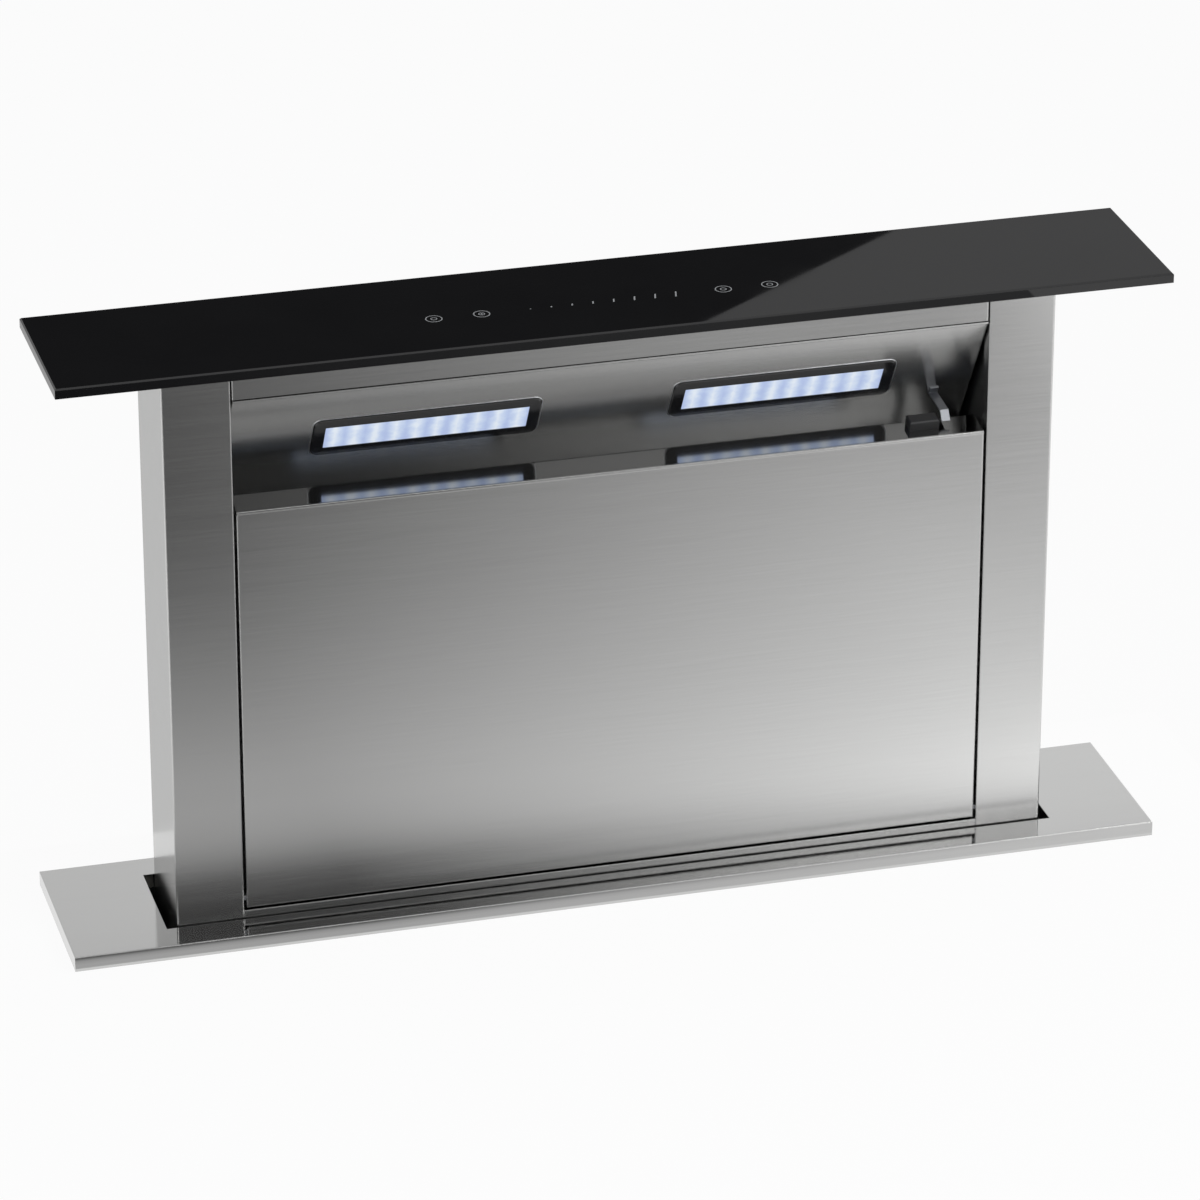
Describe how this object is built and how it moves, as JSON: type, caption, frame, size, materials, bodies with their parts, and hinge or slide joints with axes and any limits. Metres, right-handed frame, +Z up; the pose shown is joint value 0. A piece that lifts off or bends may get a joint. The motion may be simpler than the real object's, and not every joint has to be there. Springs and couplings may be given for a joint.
{
  "type": "downdraft extractor",
  "caption": "Telescopic downdraft extractor: a lit steel column with a black glass top rises from a worktop plate, above a housing with a screw lift, filters and a ducted blower.",
  "frame": {"origin": "centre of the worktop cut-out, on the worktop's surface, under the frame plate's rim", "axes": "+X to the right as the cook sees it, -Y towards the cook, +Z up; the column is drawn raised"},
  "size_m": [0.88, 0.3095, 1.076],
  "materials": {
    "brushed_panel": "fine vertical brushing",
    "brushed_column": "fine vertical brushing",
    "plate_steel": "satin polished",
    "galvanised": "galvanised, matt",
    "black_glass": "gloss, printed black from behind",
    "seal_foam": "matt foam",
    "belt_rubber": "matt",
    "black_plastic": "matt",
    "bezel_black": "gloss",
    "blower_plastic": "matt",
    "duct_plastic": "matt",
    "nylon": "matt",
    "lens": "clear, ribbed behind",
    "lamp_board": "white lacquer",
    "circuit_board": "green lacquer",
    "filter_aluminium": "satin",
    "machined_aluminium": "machined",
    "ground_steel": "ground",
    "nut_brass": "machined",
    "motor_black": "semi-gloss",
    "box_paint": "satin grey",
    "zinc": "zinc plated"
  },
  "bodies": {
    "housing": {"frame_plate": "plate_steel", "plate_gasket": "seal_foam", "housing_front": "galvanised", "housing_rear": "galvanised", "housing_shell": "galvanised", "guide_rail_left": "galvanised", "guide_rail_right": "galvanised", "bearing_blocks": "nylon", "lift_motor": "motor_black", "motor_mount": "galvanised", "drive_belt": "belt_rubber", "limit_switches": "black_plastic", "blower_scroll": "blower_plastic", "inlet_ring": "duct_plastic", "scroll_cover": "blower_plastic", "blower_motor": "machined_aluminium", "outlet_adapter": "duct_plastic", "duct_spigot": "duct_plastic", "damper_spindle": "ground_steel", "control_box": "box_paint", "control_cover": "box_paint", "control_board": "circuit_board", "cable_gland": "black_plastic", "worktop_clamps": "galvanised", "clamp_screws": "zinc", "cabinet_brackets": "galvanised", "body_screws": "zinc"},
    "column": {"pillar_left": "brushed_column", "pillar_right": "brushed_column", "pillar_feet": "galvanised", "rear_panel": "brushed_column", "lower_sill": "brushed_column", "lamp_panel": "brushed_column", "lamp_bezel_left": "bezel_black", "lamp_bezel_right": "bezel_black", "lamp_lens_left": "lens", "lamp_lens_right": "lens", "led_boards": "lamp_board", "top_tray": "galvanised", "touch_board": "circuit_board", "glass_top": "black_glass", "grease_filter_left": "filter_aluminium", "grease_filter_right": "filter_aluminium", "filter_top_rail": "brushed_column", "lift_nuts": "nut_brass", "guide_shoes": "nylon", "catch_clip": "ground_steel"},
    "front_panel": {"front_panel": "brushed_panel", "hinge_pins": "ground_steel", "panel_stiffener": "galvanised", "catch_block": "black_plastic"},
    "screw_left": {"lead_screw_left": "ground_steel", "screw_pulley_left": "machined_aluminium"},
    "screw_right": {"lead_screw_right": "ground_steel", "screw_pulley_right": "machined_aluminium"},
    "drive": {"drive_pulley": "machined_aluminium"},
    "impeller": {"impeller": "blower_plastic", "fan_shaft": "ground_steel"},
    "flap_left": {"damper_flap_left": "black_plastic"},
    "flap_right": {"damper_flap_right": "black_plastic"}
  },
  "joints": [
    {"name": "lift_slide", "type": "slide", "parent": "housing", "child": "column", "axis": [0, 0, 1], "range_m": [-0.467, 0]},
    {"name": "panel_tilt", "type": "hinge", "parent": "column", "child": "front_panel", "pos_m": [0, -0.039, 0.027], "axis": [1, 0, 0], "range_deg": [0, 18]},
    {"name": "screw_turn_left", "type": "hinge", "parent": "housing", "child": "screw_left", "pos_m": [-0.328, 0.008, -0.3], "axis": [0, 0, 1], "continuous": true},
    {"name": "screw_turn_right", "type": "hinge", "parent": "housing", "child": "screw_right", "pos_m": [0.328, 0.008, -0.3], "axis": [0, 0, 1], "continuous": true},
    {"name": "drive_turn", "type": "hinge", "parent": "housing", "child": "drive", "pos_m": [-0.23, -0.095, -0.56], "axis": [0, 0, 1], "continuous": true},
    {"name": "impeller_spin", "type": "hinge", "parent": "housing", "child": "impeller", "pos_m": [0.08, -0.1, -0.3], "axis": [0, 1, 0], "continuous": true},
    {"name": "flap_left_swing", "type": "hinge", "parent": "housing", "child": "flap_left", "pos_m": [0.19243, -0.14, -0.558], "axis": [0, -1, 0], "range_deg": [0, 70], "stiffness_Nm_per_rad": 0.02, "springref_deg": -28.65},
    {"name": "flap_right_swing", "type": "hinge", "parent": "housing", "child": "flap_right", "pos_m": [0.19243, -0.14, -0.558], "axis": [0, 1, 0], "range_deg": [0, 70], "stiffness_Nm_per_rad": 0.02, "springref_deg": -28.65}
  ],
  "couplings": [
    {"joint": "screw_turn_left", "follows": "lift_slide", "rad_per_m": 314.16},
    {"joint": "screw_turn_right", "follows": "lift_slide", "rad_per_m": 314.16},
    {"joint": "drive_turn", "follows": "lift_slide", "rad_per_m": 314.16}
  ]
}
